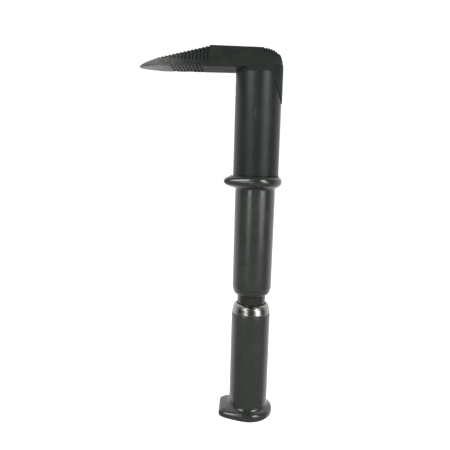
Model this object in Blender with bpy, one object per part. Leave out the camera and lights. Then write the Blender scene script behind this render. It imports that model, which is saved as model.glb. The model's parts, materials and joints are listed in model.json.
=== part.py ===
"""Slide hammer pick: a serrated steel beak on a tube, with a sliding hammer handle.

The handle axis is Z and the tool stands on the flat bottom of its pommel at z = 0.
The beak points along -X. The fixed body is the head, tube, fore handle and rod;
the hammer handle slides down the rod, along -Z.
"""
import math

import bmesh
import bpy
from mathutils import Matrix, Vector

MM = 0.001
GAP = 0.3 * MM                      # clearance between neighbouring pieces
RUNNING_GAP = 0.1 * MM              # clearance of the sliding fits
STEPS = 48                          # segments round a turned piece
FINE_STEPS = 24                     # segments round a pin or a screw
FAR = 40 * MM                       # well outside the handle, for cutters

# Radii round the handle axis
ROD_R = 14.25 * MM
HAMMER_BORE_R = 14.8 * MM
BUSH_R = 16.0 * MM
HANDLE_TUBE_R = 17.0 * MM
GRIP_BORE_R = HANDLE_TUBE_R + GAP
GRIP_R = 19.5 * MM
BODY_TUBE_BORE_R = 19.2 * MM
BODY_TUBE_R = 22.25 * MM
SPIGOT_R = BODY_TUBE_BORE_R - GAP
PLUG_FLANGE_R = 23.5 * MM

# Head: heights, then lengths along the beak
HEAD_SEAT = 343.5 * MM              # where the head sits on the tube
BEAK_UNDERSIDE = 347.5 * MM
WALL_TOP = 352.7 * MM               # top of the beak's upright side walls
BEAK_TOP = 368.6 * MM
SPIGOT_BOTTOM = 318.0 * MM
BEAK_TIP_X = -115.2 * MM
BEAK_HALF_WIDTH = 17.5 * MM
NOSE_LENGTH = 23.5 * MM
NOSE_POWER = 0.56
APEX_X = -46.0 * MM                 # where the top turns down towards the tip
TIP_THICKNESS = 1.6 * MM
TOP_FALL = 0.026                    # drop of the top per length, apex to rear
SIDE_LEAN = 0.62                    # how far the upper sides lean in, per height
REAR_CORNER_R = 19.6 * MM
REAR_CORNER_X = 3.1 * MM
REAR_CORNER_END = 80                # degrees round the rear corner
TONGUE_R = 22.9 * MM
TONGUE_SLOPE = 0.436                # how far the tongue's seam moves in, per height
TONGUE_SEAM_X = 10.9 * MM           # seam's place at the head seat

# Teeth
TOOTH_PITCH = 3.4 * MM
TOOTH_DEPTH = 0.8 * MM
UPPER_TEETH = 17
UPPER_TEETH_END = APEX_X - 1.0 * MM
LOWER_TEETH = 9
LOWER_TEETH_START = -84.0 * MM
REAR_TEETH = 7

# Body tube and fore handle
TUBE_BOTTOM = 244.0 * MM
ADAPTER_TOP = 284.0 * MM
ADAPTER_SHOULDER = 3.4 * MM
HANDLE_TUBE_Z = (131.5 * MM, 279.0 * MM)
FORE_GRIP_Z = (128.3 * MM, 247.6 * MM)
FORE_GUARD_Z = 241.7 * MM           # middle of the finger guard's rim
FORE_GUARD_EDGE_R = 5.6 * MM
FORE_GUARD_R = 26.0 * MM
FORE_GUARD_REACH = 31.0 * MM        # reach towards the beak
FORE_GUARD_FOOT = 233.0 * MM        # below this the fore grip is round
FORE_GRIP_NECK = ((1.2 * MM, 235.6 * MM), (0.2 * MM, 234.4 * MM), (0.0, 232.0 * MM))
FORE_GRIP_LIP = ((0.0, 140.0 * MM), (-0.6 * MM, 134.6 * MM), (-1.8 * MM, 130.4 * MM),
                 (-3.2 * MM, 128.7 * MM))
GUARD_POWER = 10                    # sharpness of the guards' corners on that side
GUARD_TAPER = 0.42                  # how fast the guards narrow towards the beak

# Rod, with the hammer handle's stroke set by the key screw in the keyway
ROD_Z = (26.5 * MM, 276.0 * MM)
ROD_CHAMFER = 0.8 * MM
BAND_Z = (29.5 * MM, 36.5 * MM)
BAND_DEPTH = 1.5 * MM
STROKE = 60.0 * MM
KEY_Z = 104.0 * MM
KEY_R = 2.4 * MM
KEY_SOCKET_R = 1.2 * MM
KEYWAY_FLOOR_R = 12.0 * MM

# Hammer handle
HAMMER_TUBE_Z = (8.3 * MM, 113.2 * MM)
BUSH_BOTTOM = KEY_Z + 4.0 * MM
BUSH_WALL = 1.25 * MM
COLLAR_Z = (108.8 * MM, 118.7 * MM)
COLLAR_TOP_R = 15.4 * MM
COLLAR_SHOULDER_R = 2.4 * MM
COLLAR_FOOT_R = 19.3 * MM
COLLAR_LIP = 1.4 * MM
WIPER_HEIGHT = 1.5 * MM
STRIKE_DISC_Z = (22.3 * MM, 26.2 * MM)
PLUG_FLANGE_Z = (3.3 * MM, 8.0 * MM)
POMMEL_R = 25.2 * MM
POMMEL_REACH = 30.0 * MM
POMMEL_EDGE_R = 3.0 * MM
POMMEL_RIM_TOP = 6.6 * MM
POMMEL_FLARE = ((0.0, 16.0 * MM), (0.5 * MM, 13.6 * MM), (1.7 * MM, 11.6 * MM),
                (3.4 * MM, 10.4 * MM))
POMMEL_FLARE_TOP = 15.0 * MM        # above this the rear grip is round

# Cross pins
PIN_R = 2.5 * MM
PIN_SINK = 0.4 * MM                 # how deep a pin's ends lie under the surface
HEAD_PIN_Z = (337.0 * MM, 325.0 * MM)
HEAD_PIN_END = 10.0 * MM
ADAPTER_PIN_Z = (272.0 * MM, 258.0 * MM)
PLUG_PIN_Z = 15.0 * MM
PLUG_PIN_R = 2.0 * MM

# Looks: colour, roughness, metallic
BLACK_OXIDE = ((0.040, 0.047, 0.041), 0.5, 0.6)
BLACK_PAINT = ((0.045, 0.054, 0.047), 0.38, 0.3)
VINYL = ((0.035, 0.039, 0.035), 0.35, 0.0)
ROD_BLACK = ((0.030, 0.031, 0.030), 0.25, 0.0)
CHROME = ((0.80, 0.80, 0.80), 0.08, 1.0)
STEEL = ((0.50, 0.50, 0.49), 0.35, 1.0)
BRONZE = ((0.60, 0.42, 0.22), 0.35, 1.0)
NYLON = ((0.75, 0.73, 0.66), 0.5, 0.0)
RUBBER = ((0.025, 0.025, 0.025), 0.7, 0.0)


def clear_scene():
    for obj in list(bpy.data.objects):
        bpy.data.objects.remove(obj, do_unlink=True)


def material(name, look):
    colour, roughness, metallic = look
    mat = bpy.data.materials.new(name)
    mat.use_nodes = True
    shader = mat.node_tree.nodes["Principled BSDF"]
    shader.inputs["Base Color"].default_value = (*colour, 1.0)
    shader.inputs["Roughness"].default_value = roughness
    shader.inputs["Metallic"].default_value = metallic
    return mat


def new_object(name, bm, look=None, parent=None):
    """Make an object of a bmesh; with no look it is a cutter or a guide."""
    bmesh.ops.recalc_face_normals(bm, faces=bm.faces)
    if bm.calc_volume(signed=True) < 0:
        bmesh.ops.reverse_faces(bm, faces=bm.faces)
    mesh = bpy.data.meshes.new(name)
    bm.to_mesh(mesh)
    bm.free()
    obj = bpy.data.objects.new(name, mesh)
    bpy.context.scene.collection.objects.link(obj)
    if look is None:
        obj.hide_render = True
        obj.display_type = "WIRE"
    else:
        mesh.materials.append(material(name, look))
        mesh.shade_smooth()
        mesh.set_sharp_from_angle(angle=math.radians(32))
    obj.parent = parent
    return obj


def turned_mesh(profile, steps=STEPS):
    """Spin a closed (radius, z) outline round the Z axis."""
    bm = bmesh.new()
    verts = [bm.verts.new((radius, 0.0, z)) for radius, z in profile]
    edges = [bm.edges.new(pair) for pair in zip(verts, verts[1:] + verts[:1])]
    bmesh.ops.spin(bm, geom=verts + edges, axis=(0, 0, 1), cent=(0, 0, 0),
                   steps=steps, angle=math.tau, use_merge=True)
    bmesh.ops.remove_doubles(bm, verts=bm.verts, dist=1e-6)
    on_axis = [edge for edge in bm.edges if not edge.link_faces]
    bmesh.ops.delete(bm, geom=on_axis, context="EDGES")
    return bm


def ring(outer, inner, low, high):
    """Outline of a plain ring or sleeve."""
    return [(outer, high), (outer, low), (inner, low), (inner, high)]


def rod_mesh(radius, start, end, steps=FINE_STEPS):
    """A round bar between two points."""
    start, end = Vector(start), Vector(end)
    bm = bmesh.new()
    bmesh.ops.create_cone(bm, cap_ends=True, segments=steps, radius1=radius, radius2=radius,
                          depth=(end - start).length)
    turn = (end - start).to_track_quat("Z", "Y").to_matrix().to_4x4()
    bm.transform(Matrix.Translation((start + end) / 2) @ turn)
    return bm


def box_mesh(low, high):
    low, high = Vector(low), Vector(high)
    bm = bmesh.new()
    bmesh.ops.create_cube(bm, size=1.0)
    bm.transform(Matrix.Translation((low + high) / 2) @ Matrix.Diagonal((*(high - low), 1.0)))
    return bm


def prism_mesh(outline, direction):
    """Extrude a closed loop of points along a direction."""
    bm = bmesh.new()
    face = bm.faces.new([bm.verts.new(point) for point in outline])
    grown = bmesh.ops.extrude_face_region(bm, geom=[face])
    moved = [item for item in grown["geom"] if isinstance(item, bmesh.types.BMVert)]
    bmesh.ops.translate(bm, verts=moved, vec=direction)
    return bm


def join(*parts):
    """Put several bmeshes into one, as separate bodies."""
    whole = bmesh.new()
    for part in parts:
        scratch = bpy.data.meshes.new("scratch")
        part.to_mesh(scratch)
        part.free()
        whole.from_mesh(scratch)
        bpy.data.meshes.remove(scratch)
    return whole


def boolean(obj, operation, tool):
    modifier = obj.modifiers.new(operation.lower(), "BOOLEAN")
    modifier.operation = operation
    modifier.solver = "EXACT"
    modifier.object = tool


def arc(centre, radius, start, end, count):
    """Points (radius, z) along an arc of a turned outline, angles in degrees."""
    points = []
    for step in range(count + 1):
        angle = math.radians(start + (end - start) * step / count)
        points.append((centre[0] + radius * math.cos(angle), centre[1] + radius * math.sin(angle)))
    return points


def guard_radius(x, y, round_r, reach):
    """Plan outline of a guard: round towards +X, narrowing to a blunt end towards the beak."""
    if x >= 0:
        return round_r
    angle = math.atan2(y, x)
    along, across = abs(math.cos(angle)), abs(math.sin(angle))
    limits = (across / (1.05 * round_r), (across + GUARD_TAPER * along) / (1.10 * round_r),
              along / (1.03 * reach))
    return min(sum(limit ** GUARD_POWER for limit in limits) ** (-1 / GUARD_POWER), reach / along)


def shape_guard(bm, heights, hollow_r, hollow_z, round_r, reach):
    """Stretch a turned guard to its plan outline, keeping the hollow inside it round."""
    for vert in bm.verts:
        radius = vert.co.xy.length
        hollow = hollow_z[0] < vert.co.z < hollow_z[1] and radius < hollow_r
        if heights[0] < vert.co.z < heights[1] and radius > GRIP_R + GAP and not hollow:
            edge = guard_radius(vert.co.x, vert.co.y, round_r, reach)
            share = (radius - GRIP_R) / (round_r - GRIP_R)
            vert.co.xy *= (GRIP_R + share * (edge - GRIP_R)) / radius


# ---------------------------------------------------------------- head

def upper_half_width(z):
    """Half-width between the leaning upper sides of the head at a height."""
    return BEAK_HALF_WIDTH - (z - WALL_TOP) * SIDE_LEAN


def top_height(x):
    """Height of the head's top without its teeth."""
    if x < APEX_X:
        tip = BEAK_UNDERSIDE + TIP_THICKNESS
        return tip + (BEAK_TOP - tip) * (x - BEAK_TIP_X) / (APEX_X - BEAK_TIP_X)
    return BEAK_TOP - (x - APEX_X) * TOP_FALL


def rear_corner(angle, depth=0.0):
    """(x, z) on the rounded rear corner, or a depth below it."""
    radius = REAR_CORNER_R - depth
    centre_z = top_height(REAR_CORNER_X) - REAR_CORNER_R
    return REAR_CORNER_X + radius * math.sin(angle), centre_z + radius * math.cos(angle)


def roof_stations():
    """(x, top height, groove depth) along the head, ridge and valley in turn."""
    stations = [(BEAK_TIP_X - TOOTH_PITCH / 2, top_height(BEAK_TIP_X), 0.0)]
    first = UPPER_TEETH_END - UPPER_TEETH * TOOTH_PITCH
    for tooth in range(UPPER_TEETH):
        ridge = first + tooth * TOOTH_PITCH
        valley = ridge + TOOTH_PITCH / 2
        stations.append((ridge, top_height(ridge), 0.0))
        stations.append((valley, top_height(valley), TOOTH_DEPTH))
    for x in (UPPER_TEETH_END, APEX_X):
        stations.append((x, top_height(x), 0.0))
    pitch = TOOTH_PITCH / REAR_CORNER_R
    for tooth in range(REAR_TEETH):
        stations.append((*rear_corner(tooth * pitch), 0.0))
        stations.append((*rear_corner((tooth + 0.5) * pitch, TOOTH_DEPTH), 0.0))
    for angle in (REAR_TEETH * pitch, math.radians(REAR_CORNER_END)):
        stations.append((*rear_corner(angle), 0.0))
    stations.append((TONGUE_R + GAP, rear_corner(math.pi / 2)[1], 0.0))
    return stations


def roof_mesh():
    """The head's roof: leaning sides, sloped top, grooves and toothed rear corner."""
    foot = SPIGOT_BOTTOM - FAR
    skirt = BODY_TUBE_R + 4 * MM
    skirt_z = WALL_TOP - (skirt - BEAK_HALF_WIDTH) / SIDE_LEAN
    bm = bmesh.new()
    loops = []
    for x, top, depth in roof_stations():
        half_top = upper_half_width(top) - depth
        half_skirt = skirt - depth
        side = [(half_skirt, foot), (half_skirt, skirt_z), (half_top, top - depth)]
        points = side + [(-y, z) for y, z in reversed(side)]
        loops.append([bm.verts.new((x, y, z)) for y, z in points])
    for near, far in zip(loops, loops[1:]):
        for index, corner in enumerate(near):
            after = (index + 1) % len(near)
            bm.faces.new((corner, near[after], far[after], far[index]))
    bm.faces.new(loops[0])
    bm.faces.new(loops[-1])
    return bm


def beak_block_mesh():
    """The beak in plan: parallel sides running into a rounded nose."""
    outline = []
    count = 7
    for step in range(count + 1):
        share = (step / count) ** 2
        x = BEAK_TIP_X + share * NOSE_LENGTH
        outline.append((x, -BEAK_HALF_WIDTH * share ** NOSE_POWER))
    outline.append((0.0, -BEAK_HALF_WIDTH))
    mirrored = [(x, -y) for x, y in reversed(outline[1:])]
    loop = [Vector((x, y, BEAK_UNDERSIDE)) for x, y in outline + mirrored]
    return prism_mesh(loop, (0, 0, BEAK_TOP - BEAK_UNDERSIDE + 5 * MM))


def tongue_mesh(setback=0.0):
    """Region behind the sloping seam, which the tongue fills."""
    points = []
    for z in (SPIGOT_BOTTOM - 10 * MM, HEAD_SEAT + 12 * MM):
        points.append((TONGUE_SEAM_X - setback + (HEAD_SEAT - z) * TONGUE_SLOPE, z))
    points += [(FAR, z) for _, z in reversed(points)]
    loop = [Vector((x, -FAR, z)) for x, z in points]
    return prism_mesh(loop, (0, 2 * FAR, 0))


def lower_teeth_mesh():
    """Cutters for the grooves across the beak's underside."""
    cutters = []
    below = BEAK_UNDERSIDE - 0.2 * MM
    half = TOOTH_PITCH / 2 - 0.2 * MM
    for tooth in range(LOWER_TEETH):
        x = LOWER_TEETH_START + tooth * TOOTH_PITCH
        groove = [(x - half, below), (x, BEAK_UNDERSIDE + TOOTH_DEPTH), (x + half, below)]
        loop = [Vector((across, -FAR, z)) for across, z in groove]
        cutters.append(prism_mesh(loop, (0, 2 * FAR, 0)))
    return join(*cutters)


def pin_cutter(name, heights, start, end, radius=PIN_R):
    """Cutter for a row of cross holes along X."""
    holes = [rod_mesh(radius + GAP, (start, 0, z), (end, 0, z)) for z in heights]
    return new_object(name, join(*holes))


def build_head(root):
    """Forged beak with its cap, rear tongue and spigot."""
    seat = HEAD_SEAT + GAP
    head = new_object("beak_head", beak_block_mesh(), BLACK_OXIDE, root)
    cap = turned_mesh(ring(BODY_TUBE_R, 0.0, seat, BEAK_TOP + 6 * MM))
    boolean(head, "UNION", new_object("cap_guide", cap))
    tongue = new_object("tongue_guide", tongue_mesh())
    round_back = turned_mesh(ring(TONGUE_R, 0.0, SPIGOT_BOTTOM - 12 * MM, HEAD_SEAT + 8 * MM))
    boolean(tongue, "INTERSECT", new_object("tongue_round_guide", round_back))
    boolean(head, "UNION", tongue)
    spigot = turned_mesh(ring(SPIGOT_R, 0.0, SPIGOT_BOTTOM, HEAD_SEAT + 3 * MM))
    boolean(head, "UNION", new_object("spigot_guide", spigot))
    boolean(head, "DIFFERENCE", new_object("lower_teeth_cutter", lower_teeth_mesh()))
    pin_holes = pin_cutter("head_pin_cutter", HEAD_PIN_Z, -FAR, HEAD_PIN_END + GAP)
    boolean(head, "DIFFERENCE", pin_holes)
    boolean(head, "INTERSECT", new_object("roof_guide", roof_mesh()))


def build_body_tube(root):
    """Heavy tube, mitred at the back to take the head's tongue."""
    profile = ring(BODY_TUBE_R, BODY_TUBE_BORE_R, TUBE_BOTTOM, HEAD_SEAT)
    tube = new_object("body_tube", turned_mesh(profile), BLACK_PAINT, root)
    boolean(tube, "DIFFERENCE", new_object("mitre_cutter", tongue_mesh(setback=GAP)))
    boolean(tube, "DIFFERENCE", pin_cutter("tube_head_pin_cutter", HEAD_PIN_Z, -FAR, 0.0))
    boolean(tube, "DIFFERENCE", pin_cutter("tube_adapter_pin_cutter", ADAPTER_PIN_Z, -FAR, FAR))


def build_head_pins(root):
    start = PIN_SINK - BODY_TUBE_R
    for place, z in zip(("upper", "lower"), HEAD_PIN_Z):
        pin = rod_mesh(PIN_R, (start, 0, z), (HEAD_PIN_END, 0, z))
        new_object("head_dowel_pin_" + place, pin, STEEL, root)


# ---------------------------------------------------------------- fore handle

def build_adapter(root):
    """Turned sleeve that holds the handle tube in the wide tube."""
    shoulder = TUBE_BOTTOM - GAP
    foot = shoulder - ADAPTER_SHOULDER
    web = HANDLE_TUBE_Z[1] + GAP
    profile = [(0, ADAPTER_TOP), (SPIGOT_R, ADAPTER_TOP), (SPIGOT_R, shoulder),
               (BODY_TUBE_R - GAP, shoulder), (BODY_TUBE_R - GAP, foot),
               (GRIP_BORE_R, foot), (GRIP_BORE_R, web), (0, web)]
    adapter = new_object("tube_adapter", turned_mesh(profile), STEEL, root)
    boolean(adapter, "DIFFERENCE", pin_cutter("adapter_pin_cutter", ADAPTER_PIN_Z, -FAR, FAR))


def build_fore_handle_tube(root):
    profile = ring(HANDLE_TUBE_R, ROD_R + GAP, *HANDLE_TUBE_Z)
    tube = new_object("fore_handle_tube", turned_mesh(profile), STEEL, root)
    boolean(tube, "DIFFERENCE", pin_cutter("handle_tube_pin_cutter", ADAPTER_PIN_Z, -FAR, FAR))


def build_adapter_pins(root):
    """Two pins through the tube, adapter, handle tube and rod."""
    half = BODY_TUBE_R - PIN_SINK
    for place, z in zip(("upper", "lower"), ADAPTER_PIN_Z):
        pin = rod_mesh(PIN_R, (-half, 0, z), (half, 0, z))
        new_object("adapter_dowel_pin_" + place, pin, STEEL, root)


def build_fore_grip(root):
    """Moulded vinyl sleeve with a finger guard that cups the tube's end."""
    low, high = FORE_GRIP_Z
    cup_r = BODY_TUBE_R + GAP
    cup_floor = TUBE_BOTTOM - ADAPTER_SHOULDER - 2 * GAP
    mouth_r = ROD_R + 0.7 * MM
    tube_end = HANDLE_TUBE_Z[0] - GAP
    profile = [(cup_r, high - 1.0 * MM), (cup_r + 1.0 * MM, high)]
    profile += arc((FORE_GUARD_R - FORE_GUARD_EDGE_R, FORE_GUARD_Z), FORE_GUARD_EDGE_R, 75, -60, 6)
    profile += [(GRIP_R + swell, z) for swell, z in FORE_GRIP_NECK + FORE_GRIP_LIP]
    profile += [(mouth_r, low), (mouth_r, tube_end), (GRIP_BORE_R, tube_end),
                (GRIP_BORE_R, cup_floor), (cup_r, cup_floor)]
    bm = turned_mesh(profile)
    cup_z = (cup_floor - GAP, high)
    heights = (FORE_GUARD_FOOT, high - GAP)
    shape_guard(bm, heights, cup_r + GAP, cup_z, FORE_GUARD_R, FORE_GUARD_REACH)
    new_object("fore_grip", bm, VINYL, root)


def build_slide_rod(root):
    """Black polished rod with a keyway on its back and a groove for its guide band."""
    low, high = ROD_Z
    groove_r = ROD_R - BAND_DEPTH
    groove_low, groove_high = BAND_Z[0] - GAP, BAND_Z[1] + GAP
    profile = [(0, high), (ROD_R - ROD_CHAMFER, high), (ROD_R, high - ROD_CHAMFER),
               (ROD_R, groove_high), (groove_r, groove_high), (groove_r, groove_low),
               (ROD_R, groove_low), (ROD_R, low + ROD_CHAMFER), (ROD_R - ROD_CHAMFER, low), (0, low)]
    rod = new_object("slide_rod", turned_mesh(profile), ROD_BLACK, root)
    half = KEY_R + GAP
    keyway = box_mesh((KEYWAY_FLOOR_R, -half, KEY_Z - STROKE - half), (FAR, half, KEY_Z + half))
    boolean(rod, "DIFFERENCE", new_object("keyway_cutter", keyway))
    boolean(rod, "DIFFERENCE", pin_cutter("rod_pin_cutter", ADAPTER_PIN_Z, -FAR, FAR))


def build_guide_band(root):
    profile = ring(HAMMER_BORE_R - RUNNING_GAP, ROD_R - BAND_DEPTH + GAP, *BAND_Z)
    new_object("rod_guide_band", turned_mesh(profile), NYLON, root)


# ---------------------------------------------------------------- hammer handle

def build_guide_collar(hammer):
    """Polished collar that caps the hammer tube and holds the bush."""
    low, high = COLLAR_Z
    lip_r = ROD_R + 0.5 * MM
    shoulder_z = high - COLLAR_SHOULDER_R
    tube_end = HAMMER_TUBE_Z[1] + GAP
    profile = [(lip_r, high), (COLLAR_TOP_R, high)]
    profile += arc((COLLAR_TOP_R, shoulder_z), COLLAR_SHOULDER_R, 75, 8, 4)
    profile += [(COLLAR_TOP_R + 2.8 * MM, shoulder_z - 2 * MM), (COLLAR_FOOT_R, low + 1.4 * MM),
                (COLLAR_FOOT_R, low), (GRIP_BORE_R, low), (GRIP_BORE_R, tube_end),
                (BUSH_R + GAP, tube_end), (BUSH_R + GAP, high - COLLAR_LIP),
                (lip_r, high - COLLAR_LIP)]
    new_object("guide_collar", turned_mesh(profile), CHROME, hammer)


def build_wiper(hammer):
    top = COLLAR_Z[1] - COLLAR_LIP - GAP
    profile = ring(BUSH_R, ROD_R + RUNNING_GAP, top - WIPER_HEIGHT, top)
    new_object("rod_wiper", turned_mesh(profile), RUBBER, hammer)


def build_bush(hammer):
    """Flanged bronze bush: its flange in the collar, its barrel in the tube's counterbore."""
    top = COLLAR_Z[1] - COLLAR_LIP - WIPER_HEIGHT - 2 * GAP
    flange_z = HAMMER_TUBE_Z[1] + GAP
    bore_r = ROD_R + RUNNING_GAP
    barrel_r = ROD_R + BUSH_WALL
    profile = [(BUSH_R, top), (BUSH_R, flange_z), (barrel_r, flange_z), (barrel_r, BUSH_BOTTOM),
               (bore_r, BUSH_BOTTOM), (bore_r, top)]
    new_object("guide_bush", turned_mesh(profile), BRONZE, hammer)


def build_hammer_tube(hammer):
    """Inner tube of the hammer handle, counterbored at the top for the bush."""
    low, high = HAMMER_TUBE_Z
    counterbore_r = ROD_R + BUSH_WALL + GAP
    step_z = BUSH_BOTTOM - GAP
    profile = [(HANDLE_TUBE_R, high), (HANDLE_TUBE_R, low), (HAMMER_BORE_R, low),
               (HAMMER_BORE_R, step_z), (counterbore_r, step_z), (counterbore_r, high)]
    tube = new_object("hammer_tube", turned_mesh(profile), STEEL, hammer)
    boolean(tube, "DIFFERENCE", pin_cutter("key_hole_cutter", (KEY_Z,), 0.0, FAR, KEY_R))
    plug_pin_hole = pin_cutter("tube_plug_pin_cutter", (PLUG_PIN_Z,), -FAR, FAR, PLUG_PIN_R)
    boolean(tube, "DIFFERENCE", plug_pin_hole)


def build_key_screw(hammer):
    """Dog-point screw whose tip runs in the rod's keyway."""
    tip, back = KEYWAY_FLOOR_R + 0.5 * MM, HANDLE_TUBE_R - 0.1 * MM
    screw = new_object("key_screw", rod_mesh(KEY_R, (tip, 0, KEY_Z), (back, 0, KEY_Z)), STEEL, hammer)
    socket = rod_mesh(KEY_SOCKET_R, (back - 1.6 * MM, 0, KEY_Z), (FAR, 0, KEY_Z), 6)
    boolean(screw, "DIFFERENCE", new_object("key_socket_cutter", socket))


def build_anvil_plug(hammer):
    """Flanged steel plug that closes the hammer tube inside the pommel."""
    spigot_r = HAMMER_BORE_R - GAP
    top = STRIKE_DISC_Z[0] - GAP
    low, high = PLUG_FLANGE_Z
    profile = [(0, top), (spigot_r, top), (spigot_r, high), (PLUG_FLANGE_R, high),
               (PLUG_FLANGE_R, low), (0, low)]
    plug = new_object("anvil_plug", turned_mesh(profile), STEEL, hammer)
    pin_hole = pin_cutter("plug_pin_cutter", (PLUG_PIN_Z,), -FAR, FAR, PLUG_PIN_R)
    boolean(plug, "DIFFERENCE", pin_hole)


def build_strike_disc(hammer):
    low, high = STRIKE_DISC_Z
    radius = HAMMER_BORE_R - GAP
    chamfer = ROD_CHAMFER
    profile = [(0, high), (radius - chamfer, high), (radius, high - chamfer), (radius, low), (0, low)]
    new_object("strike_disc", turned_mesh(profile), STEEL, hammer)


def build_plug_pin(hammer):
    half = HANDLE_TUBE_R - GAP
    pin = rod_mesh(PLUG_PIN_R, (-half, 0, PLUG_PIN_Z), (half, 0, PLUG_PIN_Z))
    new_object("anvil_dowel_pin", pin, STEEL, hammer)


def build_rear_grip(hammer):
    """Moulded vinyl sleeve with a flat-bottomed, squared pommel."""
    top = COLLAR_Z[0] - GAP
    edge_centre = POMMEL_R - POMMEL_EDGE_R
    cavity_r = PLUG_FLANGE_R + GAP
    floor, ceiling = PLUG_FLANGE_Z[0] - GAP, PLUG_FLANGE_Z[1] + GAP
    profile = [(GRIP_BORE_R, top), (GRIP_R - 0.6 * MM, top), (GRIP_R, top - 0.6 * MM)]
    profile += [(GRIP_R + swell, z) for swell, z in POMMEL_FLARE]
    profile += arc((edge_centre, POMMEL_RIM_TOP), POMMEL_EDGE_R, 70, 0, 3)
    profile += arc((edge_centre, POMMEL_EDGE_R), POMMEL_EDGE_R, 0, -90, 4)
    profile += [(0, 0), (0, floor), (cavity_r, floor), (cavity_r, ceiling), (GRIP_BORE_R, ceiling)]
    bm = turned_mesh(profile)
    cavity_z = (floor - GAP, ceiling + GAP)
    heights = (-GAP, POMMEL_FLARE_TOP)
    shape_guard(bm, heights, cavity_r + 0.1 * MM, cavity_z, POMMEL_R, POMMEL_REACH)
    new_object("rear_grip", bm, VINYL, hammer)


def main():
    clear_scene()
    root = bpy.data.objects.new("fixed_body", None)
    hammer = bpy.data.objects.new("hammer_handle", None)
    for empty in (root, hammer):
        bpy.context.scene.collection.objects.link(empty)
    for build in (build_head, build_head_pins, build_body_tube, build_adapter, build_adapter_pins,
                  build_fore_handle_tube, build_fore_grip, build_slide_rod, build_guide_band):
        build(root)
    for build in (build_guide_collar, build_wiper, build_bush, build_hammer_tube, build_key_screw,
                  build_anvil_plug, build_strike_disc, build_plug_pin, build_rear_grip):
        build(hammer)


main()
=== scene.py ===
"""Looks of the slide hammer pick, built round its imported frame.

The handle axis is Z, the beak points along -X and the pommel's bottom is at z = 0. Every
detailed piece takes its size and place from the CAD node that it stands for.
"""
import json
import math

import bmesh
import bpy
import numpy as np
from mathutils import Matrix, Vector


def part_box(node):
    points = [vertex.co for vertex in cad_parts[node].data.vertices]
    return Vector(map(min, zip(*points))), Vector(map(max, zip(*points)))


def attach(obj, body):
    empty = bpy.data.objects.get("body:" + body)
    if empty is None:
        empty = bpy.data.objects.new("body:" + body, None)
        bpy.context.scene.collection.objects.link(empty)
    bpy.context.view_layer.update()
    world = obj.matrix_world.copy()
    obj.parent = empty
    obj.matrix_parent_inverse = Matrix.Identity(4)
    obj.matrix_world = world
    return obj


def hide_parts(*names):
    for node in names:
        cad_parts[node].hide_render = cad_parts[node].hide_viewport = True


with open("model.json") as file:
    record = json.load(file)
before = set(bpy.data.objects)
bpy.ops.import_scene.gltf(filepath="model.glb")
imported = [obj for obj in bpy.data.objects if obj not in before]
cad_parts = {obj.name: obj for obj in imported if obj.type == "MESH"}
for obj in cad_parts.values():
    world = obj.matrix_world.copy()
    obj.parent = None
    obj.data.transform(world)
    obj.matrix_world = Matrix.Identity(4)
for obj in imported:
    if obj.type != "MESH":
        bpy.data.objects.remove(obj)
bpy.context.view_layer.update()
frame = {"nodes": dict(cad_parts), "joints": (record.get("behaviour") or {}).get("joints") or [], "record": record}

MM = 0.001
GAP = 0.3 * MM                      # clearance between neighbouring pieces
STEPS = 144                         # segments round a turned piece
FINE_STEPS = 40                     # segments round a pin
FAR = 60 * MM                       # well outside the handle, for cutters
FIXED = "tool_body"
HAMMER = "hammer_handle"
HEAD_PINS = ("head_dowel_pin_upper", "head_dowel_pin_lower")
ADAPTER_PINS = ("adapter_dowel_pin_upper", "adapter_dowel_pin_lower")
ANVIL_PIN = "anvil_dowel_pin"

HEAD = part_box("beak_head")
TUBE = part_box("body_tube")
FORE_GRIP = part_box("fore_grip")
FORE_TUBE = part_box("fore_handle_tube")
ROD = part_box("slide_rod")
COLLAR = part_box("guide_collar")
REAR_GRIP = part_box("rear_grip")
HAMMER_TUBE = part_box("hammer_tube")
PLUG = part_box("anvil_plug")
STROKE = frame["joints"][0]["range_m"][1]

# Head
TUBE_R = TUBE[1].y
HEAD_SEAT = TUBE[1].z + GAP         # foot of the cap, on the tube
BEAK_TOP = HEAD[1].z
TIP_X = HEAD[0].x
UNDERSIDE = HEAD_SEAT + 3.7 * MM    # lower face of the beak
WALL_TOP = UNDERSIDE + 5.2 * MM     # where the upright sides start to lean in
HALF_WIDTH = 17.5 * MM
NOSE_LENGTH = 23.5 * MM             # rounded end of the beak, in plan
NOSE_POWER = 0.56                   # how full that end is: lower is blunter
SWELL_X = (-38.0 * MM, -6.0 * MM)   # where the beak swells into the cap, in plan
APEX_X = -46.0 * MM                 # where the rise from the tip meets the top
TIP_THICKNESS = 1.6 * MM
TOP_FALL = 0.026                    # slope of the top towards the back
SIDE_LEAN = 0.62                    # how far the upper sides lean in as they rise
REAR_CORNER_R = 19.6 * MM
REAR_CORNER_X = 3.1 * MM
TONGUE_R = HEAD[1].x
TONGUE_SEAM_X = 10.9 * MM           # the tongue's seam at the top of the tube
TONGUE_SLOPE = 0.436                # how far the seam moves back as it goes down
SPIGOT_WALL = 3.4 * MM              # least wall of the tube round the head's spigot
ROOT_PASSES = 22                    # smoothing of the corner under the beak
VOXEL = 0.36 * MM                   # fineness of the head's mesh

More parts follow.
